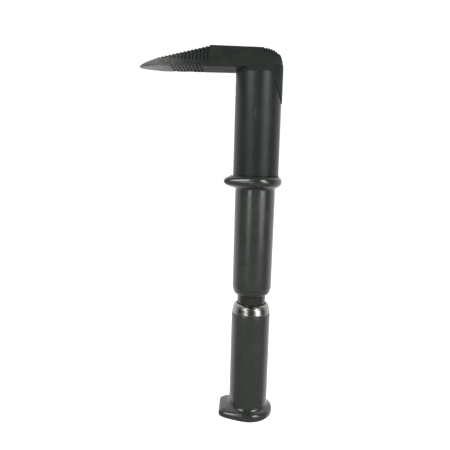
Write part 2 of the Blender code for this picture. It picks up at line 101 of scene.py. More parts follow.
# Teeth
PITCH = 3.4 * MM
UPPER_DEPTH = 1.1 * MM
UPPER_TEETH = (APEX_X - 58.8 * MM, APEX_X - 1.0 * MM)
LOWER_DEPTH = 1.5 * MM
LOWER_TEETH = (-84.5 * MM, -53.0 * MM)
ROW_END = 0.2 * MM                  # softness of both ends of a row
WORN_SHARE = 0.35                   # depth that is left of the upper teeth at the tip
WORN_SPAN = (6 * MM, 26 * MM)       # distances from the tip where they grow to full depth
REAR_DEPTH = 1.9 * MM
REAR_PITCH = 2.7 * MM
REAR_TEETH = (math.radians(1), math.radians(50))    # angles round the rear corner
REAR_END = 0.02                     # softness of both ends, as an angle
REAR_FADE = (7.5 * MM, 3 * MM)      # distances inside the corner where they grow
REAR_SIDE_SHARE = 0.6               # their depth on the side faces

# Tube, grips and collar
TUBE_WALL = 3.05 * MM
GRIP_R = COLLAR[1].x + 0.2 * MM     # vinyl over both handle tubes
GUARD_TAPER = 0.42                  # how fast the finger guard narrows towards the beak
POMMEL_TAPER = 0.35                 # the same for the pommel
GUARD_POWER = 10                    # sharpness of their corners
GUARD_EDGE_R = 5.6 * MM             # roll of the finger guard's edge

# Wear, gloss and a painted highlight: where they start and end
SCRAPE_AND_SHEEN_END = 45 * MM               # from the tip
WORN_END_X = -TUBE_R - 28 * MM
POMMEL_GLOSS_Z = (17 * MM, 27 * MM)
GUARD_GLOSS_Z = (236 * MM, 226 * MM)

# Studio
CAMERA_PLACE = (-0.01311, -0.47595, 0.2625)
CAMERA_TURN = (1.89, 7.8, 1.56)     # pan, pitch and roll in degrees
CAMERA_LENS = 38.4                  # millimetres, on a 36 mm sensor
FLOOR_SIZE = 6.0
FLOOR_GLOW = 0.85                   # seen by the camera alone
BACKDROP_GLOW = 1.1                 # seen by the camera alone
WORLD_RAMPS = (                     # axis, (direction from, to, strength from, to)
    ("Y", (-0.2, 0.4, 0.02, 1.35)),
    ("Z", (0.06, -0.3, 0.0, 0.42)),
)
SOFTBOXES = (                       # name, azimuth, distance, height, (width, height), watts
    ("softbox_right", 43, 1.3, 0.22, (0.62, 0.42), 4.3),
    ("softbox_left", -31, 1.3, 0.14, (0.42, 0.28), 1.8),
    ("softbox_high_right", 37, 1.2, 0.88, (0.48, 0.85), 14.0),
    ("softbox_high_left", -43, 1.2, 0.88, (0.56, 0.85), 14.0),
)


# ---------------------------------------------------------------- meshes

def to_object(name, bm):
    """Make an object of a closed bmesh, with its faces pointing out."""
    bmesh.ops.recalc_face_normals(bm, faces=bm.faces)
    if bm.calc_volume(signed=True) < 0:
        bmesh.ops.reverse_faces(bm, faces=bm.faces)
    mesh = bpy.data.meshes.new(name)
    bm.to_mesh(mesh)
    bm.free()
    obj = bpy.data.objects.new(name, mesh)
    bpy.context.scene.collection.objects.link(obj)
    return obj


def turned(profile, steps=STEPS):
    """Spin a closed (radius, z) outline round the Z axis."""
    bm = bmesh.new()
    verts = [bm.verts.new((radius, 0.0, z)) for radius, z in profile]
    edges = [bm.edges.new(pair) for pair in zip(verts, verts[1:] + verts[:1])]
    bmesh.ops.spin(bm, geom=verts + edges, axis=(0, 0, 1), cent=(0, 0, 0),
                   steps=steps, angle=math.tau, use_merge=True)
    bmesh.ops.remove_doubles(bm, verts=bm.verts, dist=1e-6)
    loose = [edge for edge in bm.edges if not edge.link_faces]
    bmesh.ops.delete(bm, geom=loose, context="EDGES")
    return bm


def ring(outer, inner, low, high):
    """Closed (radius, z) outline of a ring."""
    return [(outer, high), (outer, low), (inner, low), (inner, high)]


def prism(outline, direction):
    """Extrude a closed loop of points along a direction."""
    bm = bmesh.new()
    face = bm.faces.new([bm.verts.new(point) for point in outline])
    grown = bmesh.ops.extrude_face_region(bm, geom=[face])
    moved = [item for item in grown["geom"] if isinstance(item, bmesh.types.BMVert)]
    bmesh.ops.translate(bm, verts=moved, vec=direction)
    return bm


def along_x(bm, start, z):
    """Lay a piece turned round Z along +X, from a start at a height."""
    bm.transform(Matrix.Translation((start, 0, z)) @ Matrix.Rotation(math.pi / 2, 4, "Y"))
    return bm


def arc(centre, radius, start, end, count):
    """Points (radius, z) along an arc of a turned outline, angles in degrees."""
    points = []
    for step in range(count + 1):
        angle = math.radians(start + (end - start) * step / count)
        points.append((centre[0] + radius * math.cos(angle), centre[1] + radius * math.sin(angle)))
    return points


def fillet(outline, radius, count=5):
    """Round every corner of an open (radius, z) outline, as far as its sides allow."""
    points = [Vector(point) for point in outline]
    rounded = [outline[0]]
    for before, corner, after in zip(points, points[1:], points[2:]):
        into, out = before - corner, after - corner
        angle = into.angle(out)
        reach = min(radius / math.tan(angle / 2), 0.45 * into.length, 0.45 * out.length)
        start, end = corner + into.normalized() * reach, corner + out.normalized() * reach
        for step in range(count + 1):
            share = step / count
            low, high = start.lerp(corner, share), corner.lerp(end, share)
            rounded.append(tuple(low.lerp(high, share)))
    return rounded + [outline[-1]]


def bake(obj):
    """Turn an object's modifiers into its mesh."""
    bpy.context.view_layer.update()
    evaluated = obj.evaluated_get(bpy.context.evaluated_depsgraph_get())
    mesh = bpy.data.meshes.new_from_object(evaluated)
    obj.modifiers.clear()
    obj.data = mesh
    mesh.name = obj.name


def boolean(obj, operation, bm):
    """Join, cut or clip an object with a bmesh."""
    tool = to_object("tool", bm)
    modifier = obj.modifiers.new(operation, "BOOLEAN")
    modifier.operation = operation
    modifier.solver = "EXACT"
    modifier.object = tool
    bake(obj)
    bpy.data.objects.remove(tool)


def shade(obj, angle=30):
    """Smooth shading, with edges sharper than an angle in degrees left crisp."""
    obj.data.shade_smooth()
    obj.data.set_sharp_from_angle(angle=math.radians(angle))


def finish_piece(obj, body, nodes, material):
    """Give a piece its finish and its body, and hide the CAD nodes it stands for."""
    obj.data.materials.clear()
    obj.data.materials.append(material)
    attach(obj, body)
    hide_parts(*nodes)


# ---------------------------------------------------------------- materials

class Graph:
    """A Principled material, with a short call for each node that it takes."""

    def __init__(self, name, colour, roughness, metallic=0.0, specular=0.5):
        self.material = bpy.data.materials.new(name)
        self.material.use_nodes = True
        self.tree = self.material.node_tree
        self.shader = self.tree.nodes["Principled BSDF"]
        self.shader.inputs["Base Color"].default_value = (*colour, 1.0)
        self.shader.inputs["Roughness"].default_value = roughness
        self.shader.inputs["Metallic"].default_value = metallic
        self.shader.inputs["Specular IOR Level"].default_value = specular
        self.place = self.node("ShaderNodeTexCoord").outputs["Object"]

    def node(self, kind, **settings):
        made = self.tree.nodes.new(kind)
        for name, value in settings.items():
            setattr(made, name, value)
        return made

    def feed(self, socket, value):
        if isinstance(value, bpy.types.NodeSocket):
            self.tree.links.new(value, socket)
        else:
            socket.default_value = value

    def stretched(self, x, y, z):
        """Object coordinates scaled on each axis."""
        mapping = self.node("ShaderNodeMapping")
        self.feed(mapping.inputs["Vector"], self.place)
        mapping.inputs["Scale"].default_value = (x, y, z)
        return mapping.outputs["Vector"]

    def noise(self, scale, detail=4.0, rough=0.55, place=None):
        made = self.node("ShaderNodeTexNoise")
        self.feed(made.inputs["Vector"], place or self.place)
        made.inputs["Scale"].default_value = scale
        made.inputs["Detail"].default_value = detail
        made.inputs["Roughness"].default_value = rough
        return made.outputs["Fac"]

    def spots(self, scale):
        made = self.node("ShaderNodeTexVoronoi")
        self.feed(made.inputs["Vector"], self.place)
        made.inputs["Scale"].default_value = scale
        return made.outputs["Distance"]

    def attribute(self, name):
        return self.node("ShaderNodeAttribute", attribute_name=name).outputs["Fac"]

    def along(self, axis):
        """Object coordinate along X, Y or Z."""
        split = self.node("ShaderNodeSeparateXYZ")
        self.feed(split.inputs[0], self.place)
        return split.outputs[axis]

    def math(self, operation, first, second):
        made = self.node("ShaderNodeMath", operation=operation)
        self.feed(made.inputs[0], first)
        self.feed(made.inputs[1], second)
        return made.outputs[0]

    def multiply(self, first, second):
        return self.math("MULTIPLY", first, second)

    def add(self, first, second):
        return self.math("ADD", first, second)

    def remap(self, value, low, high, to_low, to_high):
        made = self.node("ShaderNodeMapRange")
        self.feed(made.inputs["Value"], value)
        for index, number in enumerate((low, high, to_low, to_high), 1):
            made.inputs[index].default_value = number
        return made.outputs["Result"]

    def blend(self, share, first, second):
        made = self.node("ShaderNodeMix", data_type="RGBA")
        self.feed(made.inputs["Factor"], share)
        for socket, colour in ((made.inputs["A"], first), (made.inputs["B"], second)):
            self.feed(socket, (*colour, 1.0) if isinstance(colour, tuple) else colour)
        return made.outputs["Result"]

    def bump(self, height, distance, strength=1.0, normal=None):
        made = self.node("ShaderNodeBump")
        self.feed(made.inputs["Height"], height)
        made.inputs["Distance"].default_value = distance
        made.inputs["Strength"].default_value = strength
        if normal is not None:
            self.feed(made.inputs["Normal"], normal)
        return made.outputs["Normal"]

    def edges(self, low, high):
        """One on convex edges, zero on flats."""
        pointy = self.node("ShaderNodeNewGeometry").outputs["Pointiness"]
        return self.remap(pointy, low, high, 0.0, 1.0)

    def finish(self, colour=None, roughness=None, normal=None):
        for name, value in (("Base Color", colour), ("Roughness", roughness), ("Normal", normal)):
            if value is not None:
                self.feed(self.shader.inputs[name], value)
        return self.material


def black_oxide():
    """Forged steel with a black oxide skin, rubbed on its teeth and worn towards the tip, with painted shade in
    the tooth valleys and a painted highlight lightening the tip.
    """
    graph = Graph("black_oxide", (0.03, 0.035, 0.031), 0.45, specular=0.4)
    mottle = graph.remap(graph.noise(90, 5), 0.3, 0.7, 0.0, 1.0)
    skin = graph.blend(mottle, (0.009, 0.012, 0.010), (0.016, 0.020, 0.017))
    rubbed = graph.blend(graph.edges(0.52, 0.60), skin, (0.050, 0.058, 0.052))
    groove = graph.remap(graph.attribute("groove"), 0.2, 0.65, 0.0, 1.0)
    # Painted shade: the tooth valleys get a darker colour here and a lower specular level below, standing in for
    # the shade that falls in them.
    groove_shaded = graph.blend(groove, rubbed, (0.011, 0.013, 0.011))
    # Lighter towards the tip: scraped bare steel mixed with a painted highlight, standing in for the light that
    # the underside reflects near the tip.
    tip = graph.remap(graph.along(0), TIP_X + SCRAPE_AND_SHEEN_END, TIP_X, 0.0, 1.0)
    scrape_and_sheen = graph.multiply(tip, graph.remap(graph.noise(240, 5), 0.35, 0.6, 0.25, 1.0))
    colour = graph.blend(scrape_and_sheen, groove_shaded, (0.13, 0.13, 0.12))
    worn = graph.remap(graph.along(0), TIP_X, WORN_END_X, 1.0, 0.0)
    shine = graph.multiply(graph.remap(worn, 0.0, 1.0, 0.1, 0.6),
                           graph.remap(groove, 0.0, 1.0, 1.0, 0.1))
    graph.feed(graph.shader.inputs["Specular IOR Level"], shine)
    grain = graph.remap(graph.noise(700, 3), 0.3, 0.7, -0.06, 0.06)
    rough = graph.add(grain, graph.remap(worn, 0.0, 1.0, 0.62, 0.40))
    fine = graph.bump(graph.noise(1400, 3), 0.00004, 0.7)
    forged = graph.bump(graph.noise(160, 4), 0.00022, 0.6, fine)
    return graph.finish(colour, rough, forged)


def black_paint():
    """Dark grey-green baked paint with a faint orange peel and fine scuffs along the tube."""
    graph = Graph("black_paint", (0.02, 0.025, 0.022), 0.4, specular=0.26)
    drift = graph.remap(graph.noise(28, 4), 0.3, 0.7, 0.0, 1.0)
    coat = graph.blend(drift, (0.008, 0.011, 0.009), (0.013, 0.017, 0.015))
    scuffs = graph.noise(260, 4, 0.6, graph.stretched(1.0, 1.0, 0.12))
    scuffed = graph.blend(graph.remap(scuffs, 0.64, 0.74, 0.0, 0.35), coat, (0.055, 0.062, 0.057))
    rough = graph.remap(scuffs, 0.3, 0.7, 0.34, 0.44)
    peel = graph.bump(graph.noise(420, 2), 0.00005, 0.5)
    return graph.finish(scuffed, rough, peel)


def vinyl():
    """Moulded black vinyl, dulled on the grips and glossier on the guard and pommel."""
    graph = Graph("vinyl", (0.028, 0.031, 0.027), 0.25)
    patches = graph.remap(graph.noise(45, 4), 0.3, 0.7, 0.0, 1.0)
    colour = graph.blend(patches, (0.018, 0.021, 0.017), (0.024, 0.028, 0.024))
    height = graph.along(2)
    pommel = graph.remap(height, *POMMEL_GLOSS_Z, 0.0, 1.0)
    guard = graph.remap(height, *GUARD_GLOSS_Z, 0.0, 1.0)
    dull = graph.remap(graph.multiply(pommel, guard), 0.0, 1.0, 0.16, 0.27)
    rough = graph.add(dull, graph.remap(graph.noise(90, 4), 0.3, 0.7, -0.04, 0.05))
    grain = graph.bump(graph.spots(1500), 0.00001, 0.3)
    swell = graph.bump(graph.noise(40, 2), 0.0003, 0.25, grain)
    return graph.finish(colour, rough, swell)


def rod_black():
    """Black nitrided steel, polished, with faint draw marks."""
    graph = Graph("rod_black", (0.014, 0.015, 0.014), 0.2)
    marks = graph.noise(500, 3, 0.5, graph.stretched(1.0, 1.0, 0.05))
    colour = graph.blend(graph.remap(marks, 0.35, 0.7, 0.0, 1.0), (0.009, 0.010, 0.008),
                         (0.019, 0.018, 0.015))
    rough = graph.remap(marks, 0.3, 0.7, 0.16, 0.24)
    return graph.finish(colour, rough, graph.bump(marks, 0.00001, 0.25))


def turned_metal(name, light, dark, roughness, lines=0.00002):
    """Turned bright metal: fine rings round the axis and a little tarnish."""
    graph = Graph(name, light, roughness, metallic=1.0)
    tarnish = graph.remap(graph.noise(140, 5), 0.45, 0.75, 0.0, 1.0)
    colour = graph.blend(tarnish, light, dark)
    rings = graph.noise(2600, 2, 0.5, graph.stretched(0.02, 0.02, 1.0))
    rough = graph.remap(rings, 0.3, 0.7, roughness * 0.75, roughness * 1.35)
    return graph.finish(colour, rough, graph.bump(rings, lines, 0.5))


def soft_polymer(name, first, second, roughness):
    """Plain nylon or rubber with a slight mottle and moulded grain."""
    graph = Graph(name, first, roughness)
    colour = graph.blend(graph.noise(300, 4), first, second)
    rough = graph.remap(graph.noise(500, 3), 0.3, 0.7, roughness * 0.85, roughness * 1.15)
    return graph.finish(colour, rough, graph.bump(graph.noise(1800, 2), 0.00003, 0.4))


# ---------------------------------------------------------------- head

def top_height(x):
    """Height of the head's top without its teeth."""
    if x < APEX_X:
        tip = UNDERSIDE + TIP_THICKNESS
        return tip + (BEAK_TOP - tip) * (x - TIP_X) / (APEX_X - TIP_X)
    return BEAK_TOP - (x - APEX_X) * TOP_FALL


def corner_centre_z():
    """Height of the centre that the rear corner is rounded about."""
    return top_height(REAR_CORNER_X) - REAR_CORNER_R


def plan_half_width(x):
    """Half-width in plan: rounded nose, straight beak, then a swell into the round cap."""
    start, end = SWELL_X
    if x < start:
        nose = min(max((x - TIP_X) / NOSE_LENGTH, 0.0), 1.0)
        return HALF_WIDTH * nose ** NOSE_POWER
    if x > end:
        return math.sqrt(max(TUBE_R ** 2 - x ** 2, 0.0))
    share = (x - start) / (end - start)
    cap = plan_half_width(end + 1e-9)
    rise = share * share * (3 - 2 * share)
    slope = -end / cap * (end - start) * (share ** 3 - share ** 2)
    return HALF_WIDTH + (cap - HALF_WIDTH) * rise + slope


def head_plan():
    """Points round the head in plan, close together where it curves."""
    nose_steps, swell_steps, cap_steps = 16, 20, 24
    nose = [TIP_X + NOSE_LENGTH * (step / nose_steps) ** 2 for step in range(nose_steps)]
    start, end = SWELL_X
    swell = [start + (end - start) * step / swell_steps for step in range(swell_steps)]
    first = math.asin(end / TUBE_R)
    cap = [TUBE_R * math.sin(first + (math.pi / 2 - first) * step / cap_steps)
           for step in range(cap_steps + 1)]
    edge = [(x, plan_half_width(x)) for x in nose + swell + cap]
    return [(x, -y) for x, y in edge] + [(x, y) for x, y in reversed(edge[1:-1])]


def roof_line():
    """(x, z) along the head's top, ending down the back."""
    steps = 24
    points = [(TIP_X - PITCH, top_height(TIP_X - PITCH)), (APEX_X, BEAK_TOP)]
    for step in range(steps + 1):
        angle = math.radians(step * 90 / steps)
        points.append((REAR_CORNER_X + REAR_CORNER_R * math.sin(angle),
                       corner_centre_z() + REAR_CORNER_R * math.cos(angle)))
    points.append((TONGUE_R + GAP, corner_centre_z() - GAP))
    return points


def roof():
    """The space under the head's sloped top and leaning sides."""
    foot = HEAD[0].z - FAR
    skirt = TUBE_R + 4 * MM
    skirt_z = WALL_TOP - (skirt - HALF_WIDTH) / SIDE_LEAN
    bm = bmesh.new()
    loops = []
    for x, top in roof_line():
        half_top = HALF_WIDTH - (top - WALL_TOP) * SIDE_LEAN
        side = [(skirt, foot), (skirt, skirt_z), (half_top, top)]
        section = side + [(-y, z) for y, z in reversed(side)]
        loops.append([bm.verts.new((x, y, z)) for y, z in section])
    for near, far in zip(loops, loops[1:]):
        for index, corner in enumerate(near):
            after = (index + 1) % len(near)
            bm.faces.new((corner, near[after], far[after], far[index]))
    bm.faces.new(loops[0])
    bm.faces.new(loops[-1])
    return bm


def behind_seam(setback=0.0):
    """Space behind the sloping seam between tube and tongue."""
    seam = []
    for z in (HEAD[0].z - 30 * MM, HEAD_SEAT + 12 * MM):
        seam.append((TONGUE_SEAM_X - setback + (HEAD_SEAT - GAP - z) * TONGUE_SLOPE, z))
    outline = seam + [(FAR, z) for _, z in reversed(seam)]
    return prism([Vector((x, -FAR, z)) for x, z in outline], (0, 2 * FAR, 0))


def wave(place, pitch):
    """Sharp ridges and valleys: 0 on a ridge, 1 in a valley."""
    return 1.0 - np.abs(2.0 * np.mod(place / pitch, 1.0) - 1.0)


def step_up(value, low, high):
    """Smooth rise from 0 to 1 between two values."""
    share = np.clip((value - low) / (high - low), 0.0, 1.0)
    return share * share * (3.0 - 2.0 * share)


def window(value, low, high, soft):
    """One between two values, zero outside them, with soft ends."""
    rise = step_up(value, low - soft, low + soft)
    return rise * (1.0 - step_up(value, high - soft, high + soft))


def tooth_depth(place, normal):
    """How deep the teeth are cut at each point of the head."""
    x, y, z = place.T
    facing_up = step_up(normal[:, 2], -0.2, 0.25)
    above_wall = step_up(z, WALL_TOP - MM, WALL_TOP + 1.5 * MM)
    upper = window(x, *UPPER_TEETH, ROW_END) * facing_up * above_wall
    grown = step_up(x, TIP_X + WORN_SPAN[0], TIP_X + WORN_SPAN[1])
    left = WORN_SHARE + (1 - WORN_SHARE) * grown
    depth = UPPER_DEPTH * upper * left * wave(x - UPPER_TEETH[1], PITCH)
    facing_down = step_up(-normal[:, 2], 0.6, 0.9) * (z > UNDERSIDE - MM)
    lower = LOWER_DEPTH * window(x, *LOWER_TEETH, ROW_END) * facing_down
    depth += lower * wave(x - LOWER_TEETH[0], PITCH)
    across, up = x - REAR_CORNER_X, z - corner_centre_z()
    angle = np.arctan2(across, up)
    reach = np.hypot(across, up)
    rear = window(angle, *REAR_TEETH, REAR_END)
    near_edge = step_up(reach, REAR_CORNER_R - REAR_FADE[0], REAR_CORNER_R - REAR_FADE[1])
    rear *= near_edge * (normal[:, 2] > -0.5)
    radial = wave(angle * REAR_CORNER_R, REAR_PITCH)
    cross = np.maximum(radial, wave(y, REAR_PITCH))
    sideways = step_up(np.abs(normal[:, 1]), 0.5, 0.8)
    pattern = cross * (1 - sideways) + REAR_SIDE_SHARE * radial * sideways
    return depth + REAR_DEPTH * rear * pattern


def cut_teeth(mesh):
    """Press the teeth into the fine mesh of the head, along its normals."""
    count = len(mesh.vertices)
    place, normal = np.empty(count * 3), np.empty(count * 3)
    mesh.vertices.foreach_get("co", place)
    mesh.vertex_normals.foreach_get("vector", normal)
    place, normal = place.reshape(-1, 3), normal.reshape(-1, 3)
    depth = tooth_depth(place, normal)
    place = place - normal * depth[:, None]
    mesh.vertices.foreach_set("co", place.ravel())
    groove = mesh.attributes.new("groove", "FLOAT", "POINT")
    groove.data.foreach_set("value", (depth / UPPER_DEPTH).astype(np.float32))
    mesh.update()


def soften_root(obj):
    """Round the inside corner where the beak leaves the cap."""
    group = obj.vertex_groups.new(name="root")
    for vert in obj.data.vertices:
        low = HEAD_SEAT + 0.8 * MM < vert.co.z < UNDERSIDE + 1.2 * MM
        if low and -TUBE_R - 3.5 * MM < vert.co.x < -TUBE_R * 0.55:
            group.add([vert.index], 1.0, "REPLACE")
    smooth = obj.modifiers.new("root", "SMOOTH")
    smooth.factor = 0.5
    smooth.iterations = ROOT_PASSES
    smooth.vertex_group = group.name
    bake(obj)


def build_head(material):
    """Forged beak with cap and tongue, remeshed finely so that its edges are soft."""
    outline = [Vector((x, y, UNDERSIDE)) for x, y in head_plan()]
    head = to_object("forged_beak", prism(outline, (0, 0, BEAK_TOP - UNDERSIDE + 6 * MM)))
    boolean(head, "UNION", turned(ring(TUBE_R, 0.0, HEAD_SEAT, UNDERSIDE + 3 * MM)))
    tongue = to_object("tongue", behind_seam())
    tongue_round = ring(TONGUE_R, 0.0, HEAD[0].z - 12 * MM, HEAD_SEAT + 7.7 * MM)
    boolean(tongue, "INTERSECT", turned(tongue_round))
    tongue_mesh = bmesh.new()
    tongue_mesh.from_mesh(tongue.data)
    bpy.data.objects.remove(tongue)
    boolean(head, "UNION", tongue_mesh)
    spigot_r = min(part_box("tube_adapter")[1].x, TUBE_R - SPIGOT_WALL)
    boolean(head, "UNION", turned(ring(spigot_r, 0.0, HEAD[0].z + 12 * MM, UNDERSIDE)))
    boolean(head, "INTERSECT", roof())
    remesh = head.modifiers.new("skin", "REMESH")
    remesh.mode = "VOXEL"
    remesh.voxel_size = VOXEL
    bake(head)
    cut_teeth(head.data)
    soften_root(head)
    head.data.shade_smooth()
    finish_piece(head, FIXED, ["beak_head"], material)


# ---------------------------------------------------------------- fixed body

def pin_hole(node):
    """Cutter for a cross pin's hole."""
    low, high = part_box(node)
    radius = (high.z - low.z) / 2 + 0.12 * MM
    bm = turned([(0, 0), (radius, 0), (radius, 2 * FAR), (0, 2 * FAR)], FINE_STEPS)
    return along_x(bm, -FAR, (low.z + high.z) / 2)


def build_tube(material):
    """Painted tube with eased rims, mitred for the tongue and drilled for the pins."""
    low, high = TUBE[0].z, TUBE[1].z
    bore = TUBE_R - TUBE_WALL
    rim = high + 0.6 * GAP
    profile = [(TUBE_R, rim)]
    profile += fillet([(TUBE_R, high), (TUBE_R, low), (bore, low)], 0.45 * MM, 4)
    profile += [(bore, rim)]
    tube = to_object("painted_tube", turned(profile))
    boolean(tube, "DIFFERENCE", behind_seam(setback=0.4 * GAP))
    for node in ADAPTER_PINS:
        boolean(tube, "DIFFERENCE", pin_hole(node))
    for node in HEAD_PINS:
        hole = pin_hole(node)
        bmesh.ops.translate(hole, verts=hole.verts, vec=(-FAR, 0, 0))
        boolean(tube, "DIFFERENCE", hole)
    shade(tube)
    finish_piece(tube, FIXED, ["body_tube"], material)


def build_dowel(node, material):
    """Cross pin with domed ends, just under the tube's surface."""
    low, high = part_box(node)
    radius, length = (high.z - low.z) / 2, high.x - low.x
    dome = 0.5 * MM
    profile = [(0, 0), (radius * 0.6, dome * 0.25), (radius - dome, dome * 0.7),
               (radius, dome * 1.6)]
    profile += [(r, length - z) for r, z in reversed(profile)]
    bm = turned(profile, FINE_STEPS)
    pin = to_object(node.replace("dowel_pin", "pin"), along_x(bm, low.x, (low.z + high.z) / 2))
    shade(pin, 40)
    body = HAMMER if node == ANVIL_PIN else FIXED
    finish_piece(pin, body, [node], material)


def guard_reach(angle, round_r, reach, taper):
    """Plan outline of a guard: round at the back, narrowing to a blunt end towards the beak."""
    along, across = -math.cos(angle), abs(math.sin(angle))
    if along <= 0:
        return round_r
    limits = (across / (1.05 * round_r), (across + taper * along) / (1.10 * round_r),
              along / (1.03 * reach))
    return min(sum(limit ** GUARD_POWER for limit in limits) ** (-1 / GUARD_POWER), reach / along)


def shape_guard(bm, heights, hollow_r, hollow_z, grip_r, round_r, reach, taper):
    """Stretch a turned guard to its plan outline, keeping the hollow inside it round."""
    for vert in bm.verts:
        radius = vert.co.xy.length
        hollow = hollow_z[0] < vert.co.z < hollow_z[1] and radius < hollow_r
        if heights[0] < vert.co.z < heights[1] and radius > grip_r and not hollow:
            edge = guard_reach(math.atan2(vert.co.y, vert.co.x), round_r, reach, taper)
            share = (radius - grip_r) / (round_r - grip_r)
            vert.co.xy *= (grip_r + share * (edge - grip_r)) / radius


def build_fore_grip(material):
    """Vinyl sleeve with a rolled finger guard, an eased lower rim and a cup for the tube."""
    low, high = FORE_GRIP[0].z, FORE_GRIP[1].z
    guard_r, reach = FORE_GRIP[1].x, -FORE_GRIP[0].x
    bore = FORE_TUBE[1].y + GAP
    cup_r = TUBE_R + GAP
    cup_floor = TUBE[0].z - 4.0 * MM
    mouth = ROD[1].y + 0.7 * MM
    lip_z = low + 6.3 * MM
    rolled_top = [(cup_r, high - 1.6 * MM), (cup_r + 0.4 * MM, high - 0.5 * MM),
                  (cup_r + 1.3 * MM, high)]
    rolled_edge = arc((guard_r - GUARD_EDGE_R, high - 5.9 * MM), GUARD_EDGE_R, 80, -62, 22)
    neck = [(GRIP_R + 3.1 * MM, high - 11.3 * MM), (GRIP_R + 0.25 * MM, high - 12.6 * MM),
            (GRIP_R + 0.2 * MM, high - 18 * MM)]
    sleeve = [(GRIP_R + 0.1 * MM, (low + high) / 2), (GRIP_R - 0.05 * MM, lip_z + 3 * MM)]
    lip = [(GRIP_R - 0.1 * MM, lip_z + 0.6 * MM), (GRIP_R - 0.15 * MM, lip_z),
           (GRIP_R - 0.75 * MM, lip_z - 0.35 * MM), (GRIP_R - 1.0 * MM, low + 3.2 * MM),
           (GRIP_R - 2.6 * MM, low + 0.5 * MM), (mouth + 0.4 * MM, low)]
    outer = rolled_top + rolled_edge + fillet(neck, 2.2 * MM, 8)
    outer += sleeve + fillet(lip, 1.4 * MM, 6)
    inner = [(mouth, low + 0.4 * MM), (mouth, FORE_TUBE[0].z - GAP), (bore, FORE_TUBE[0].z - GAP),
             (bore, cup_floor), (cup_r, cup_floor)]
    bm = turned(outer + inner)
    heights = (high - 16 * MM, high - 0.2 * MM)
    shape_guard(bm, heights, cup_r + 0.2 * MM, (cup_floor - GAP, high),
                GRIP_R + 0.3 * MM, guard_r, reach, GUARD_TAPER)
    grip = to_object("fore_grip_sleeve", bm)
    shade(grip, 50)
    finish_piece(grip, FIXED, ["fore_grip"], material)


def build_rod(material):
    """Rod with eased ends, band groove, keyway and cross-drilled top."""
    low, high = ROD[0].z, ROD[1].z
    radius = ROD[1].y
    band_low, band_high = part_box("rod_guide_band")
    groove = radius - 1.5 * MM
    groove_low, groove_high = band_low.z - GAP, band_high.z + GAP
    outline = [(0, high), (radius, high), (radius, groove_high), (groove, groove_high),
               (groove, groove_low), (radius, groove_low), (radius, low), (0, low)]
    rod = to_object("slide_rod_polished", turned(fillet(outline, 0.7 * MM, 3)))
    key_low, key_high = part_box("key_screw")
    half = (key_high.z - key_low.z) / 2 + GAP
    key_z = (key_low.z + key_high.z) / 2
    keyway = []
    for centre, start in ((key_z, 0), (key_z - STROKE, 180)):
        keyway += arc((0, centre), half, start, start + 180, 8)
    keyway = [Vector((key_low.x - 0.5 * MM, y, z)) for y, z in keyway]
    boolean(rod, "DIFFERENCE", prism(keyway, (FAR, 0, 0)))
    for node in ADAPTER_PINS:
        boolean(rod, "DIFFERENCE", pin_hole(node))
    shade(rod)
    finish_piece(rod, FIXED, ["slide_rod"], material)


# ---------------------------------------------------------------- hammer handle

def build_collar(material):
    """Polished collar: small flat top, rolled shoulder, fine groove, flared skirt."""
    low, high = COLLAR[0].z, COLLAR[1].z
    foot_r = COLLAR[1].x
    lip_r = ROD[1].y + 0.5 * MM
    tube_r, tube_end = HAMMER_TUBE[1].y + GAP, HAMMER_TUBE[1].z + GAP
    bush_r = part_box("guide_bush")[1].y + GAP
    lip = high - 1.4 * MM
    shoulder = foot_r - 1.55 * MM
    skirt_r = foot_r - 0.02 * MM
    outline = [(lip_r, lip), (lip_r, high), (shoulder - 2.0 * MM, high),
               (shoulder, high - 1.7 * MM), (shoulder + 0.1 * MM, high - 3.1 * MM),
               (shoulder + 0.45 * MM, high - 3.5 * MM), (skirt_r, low + 1.0 * MM),
               (skirt_r, low), (tube_r, low)]
    profile = fillet(outline, 0.9 * MM, 5)
    profile += [(tube_r, tube_end), (bush_r, tube_end), (bush_r, lip)]
    collar = to_object("polished_collar", turned(profile))
    shade(collar, 40)
    finish_piece(collar, HAMMER, ["guide_collar"], material)


def build_rear_grip(material):
    """Vinyl sleeve running out into a flat-bottomed pommel, squared towards the beak."""
    high = REAR_GRIP[1].z
    rim_r, reach = REAR_GRIP[1].x, -REAR_GRIP[0].x
    bore = HAMMER_TUBE[1].y + GAP
    cavity_r = PLUG[1].y + GAP
    floor, ceiling = PLUG[0].z - GAP, HAMMER_TUBE[0].z
    upper_r, lower_r, flare_r = 3.8 * MM, 3.4 * MM, 3.5 * MM
    rim_top = 9.4 * MM
    outer = fillet([(bore, high), (GRIP_R - 0.1 * MM, high), (GRIP_R, high - 6 * MM)], 0.7 * MM, 5)
    outer += [(GRIP_R, high * 0.6), (GRIP_R, high * 0.35), (GRIP_R, 16 * MM)]
    outer += arc((GRIP_R + flare_r, rim_top + flare_r), flare_r, 180, 248, 12)
    outer += arc((rim_r - upper_r, rim_top - upper_r), upper_r, 74, 0, 12)
    outer += arc((rim_r - lower_r, lower_r), lower_r, 0, -90, 8)
    inner = [(0, 0), (0, floor), (cavity_r, floor), (cavity_r, ceiling), (bore, ceiling)]
    bm = turned(outer + inner)
    shape_guard(bm, (-GAP, 18 * MM), cavity_r + 0.1 * MM, (floor - GAP, ceiling + GAP),
                GRIP_R + 0.1 * MM, rim_r, reach, POMMEL_TAPER)
    grip = to_object("rear_grip_sleeve", bm)
    shade(grip, 50)
    finish_piece(grip, HAMMER, ["rear_grip"], material)


def dress_cad_nodes(looks):
    """Give every CAD node the finish named by its slot; those that no piece replaces are shown."""
    slots = {row["node"]: row["material_slot"] for row in frame["record"]["subparts"]}
    for name, node in frame["nodes"].items():
        node.data.materials.clear()
        node.data.materials.append(looks[slots[name]])


# ---------------------------------------------------------------- studio

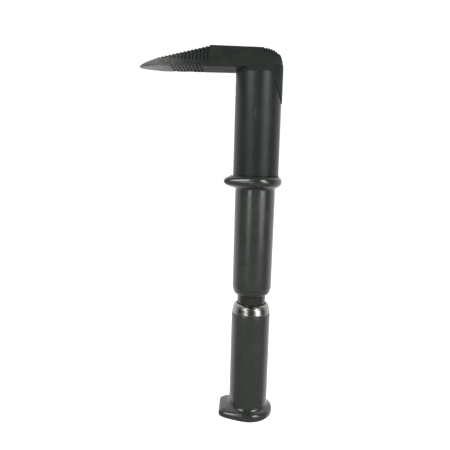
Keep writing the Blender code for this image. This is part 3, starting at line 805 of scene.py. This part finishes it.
def build_camera():
    """A camera in front of the tool, a little left of it, looking slightly down."""
    camera = bpy.data.objects.new("camera", bpy.data.cameras.new("camera"))
    camera.data.lens = CAMERA_LENS
    camera.data.sensor_width = 36.0
    camera.data.clip_start = 0.01
    pan, pitch, roll = (math.radians(angle) for angle in CAMERA_TURN)
    turn = Matrix.Rotation(pan, 4, "Z") @ Matrix.Rotation(math.pi / 2 - pitch, 4, "X")
    turn = turn @ Matrix.Rotation(roll, 4, "Z")
    camera.matrix_world = Matrix.Translation(CAMERA_PLACE) @ turn
    bpy.context.scene.collection.objects.link(camera)
    bpy.context.scene.camera = camera


def build_floor():
    """Plain white floor, low enough for the hammer handle to slide right out."""
    bm = bmesh.new()
    bmesh.ops.create_grid(bm, x_segments=1, y_segments=1, size=FLOOR_SIZE)
    floor = bpy.data.objects.new("floor", bpy.data.meshes.new("floor"))
    bm.to_mesh(floor.data)
    bm.free()
    floor.location.z = -STROKE - MM
    bpy.context.scene.collection.objects.link(floor)
    graph = Graph("floor_white", (0.5, 0.5, 0.5), 0.9, specular=0.1)
    graph.shader.inputs["Emission Color"].default_value = (1.0, 1.0, 1.0, 1.0)
    seen = graph.node("ShaderNodeLightPath").outputs["Is Camera Ray"]
    graph.feed(graph.shader.inputs["Emission Strength"], graph.multiply(seen, FLOOR_GLOW))
    floor.data.materials.append(graph.material)
    floor.visible_glossy = False


def build_softbox(name, azimuth, distance, height, size, power):
    """A soft box that faces the middle of the tool; azimuth 0 is towards the camera."""
    light = bpy.data.lights.new(name, "AREA")
    light.shape = "RECTANGLE"
    light.size, light.size_y = size
    light.energy = power
    obj = bpy.data.objects.new(name, light)
    angle = math.radians(azimuth)
    place = Vector((distance * math.sin(angle), -distance * math.cos(angle), height))
    aim = Vector((0, 0, BEAK_TOP / 2))
    turn = (place - aim).to_track_quat("Z", "Y").to_matrix().to_4x4()
    obj.matrix_world = Matrix.Translation(place) @ turn
    bpy.context.scene.collection.objects.link(obj)


def build_world():
    """Light from behind and below, dim in front; the camera sees plain white."""
    world = bpy.data.worlds.new("studio")
    world.use_nodes = True
    bpy.context.scene.world = world
    tree = world.node_tree
    nodes, links = tree.nodes, tree.links
    nodes.clear()
    direction = nodes.new("ShaderNodeTexCoord").outputs["Generated"]
    split = nodes.new("ShaderNodeSeparateXYZ")
    links.new(direction, split.inputs[0])
    parts = []
    for axis, numbers in WORLD_RAMPS:
        ramp = nodes.new("ShaderNodeMapRange")
        ramp.interpolation_type = "SMOOTHSTEP"
        links.new(split.outputs[axis], ramp.inputs["Value"])
        for index, number in enumerate(numbers, 1):
            ramp.inputs[index].default_value = number
        parts.append(ramp.outputs["Result"])
    brightest = nodes.new("ShaderNodeMath")
    brightest.operation = "MAXIMUM"
    links.new(parts[0], brightest.inputs[0])
    links.new(parts[1], brightest.inputs[1])
    lit = nodes.new("ShaderNodeBackground")
    links.new(brightest.outputs[0], lit.inputs["Strength"])
    seen = nodes.new("ShaderNodeBackground")
    seen.inputs["Strength"].default_value = BACKDROP_GLOW
    rays = nodes.new("ShaderNodeLightPath")
    mix = nodes.new("ShaderNodeMixShader")
    links.new(rays.outputs["Is Camera Ray"], mix.inputs["Fac"])
    links.new(lit.outputs[0], mix.inputs[1])
    links.new(seen.outputs[0], mix.inputs[2])
    for background in (lit, seen):
        background.inputs["Color"].default_value = (1.0, 1.0, 1.0, 1.0)
    links.new(mix.outputs[0], nodes.new("ShaderNodeOutputWorld").inputs["Surface"])


def build_studio():
    """Camera, floor, surroundings and lights."""
    bpy.context.scene.view_settings.view_transform = "Standard"
    build_camera()
    build_floor()
    build_world()
    for row in SOFTBOXES:
        build_softbox(*row)


def main():
    """Build every piece over its CAD node, then the studio."""
    looks = {
        "black_oxide": black_oxide(),
        "black_paint": black_paint(),
        "vinyl": vinyl(),
        "rod_black": rod_black(),
        "chrome": turned_metal("chrome", (0.26, 0.26, 0.25), (0.20, 0.20, 0.19), 0.24, 0.000006),
        "steel": turned_metal("steel", (0.50, 0.50, 0.49), (0.33, 0.32, 0.30), 0.34),
        "bronze": turned_metal("bronze", (0.60, 0.42, 0.22), (0.42, 0.27, 0.13), 0.34),
        "nylon": soft_polymer("nylon", (0.75, 0.73, 0.66), (0.66, 0.64, 0.56), 0.5),
        "rubber": soft_polymer("rubber", (0.022, 0.022, 0.022), (0.034, 0.034, 0.033), 0.7),
    }
    dress_cad_nodes(looks)
    build_head(looks["black_oxide"])
    build_tube(looks["black_paint"])
    for node in (*HEAD_PINS, *ADAPTER_PINS, ANVIL_PIN):
        build_dowel(node, looks["steel"])
    build_fore_grip(looks["vinyl"])
    build_rod(looks["rod_black"])
    build_collar(looks["chrome"])
    build_rear_grip(looks["vinyl"])
    build_studio()


main()
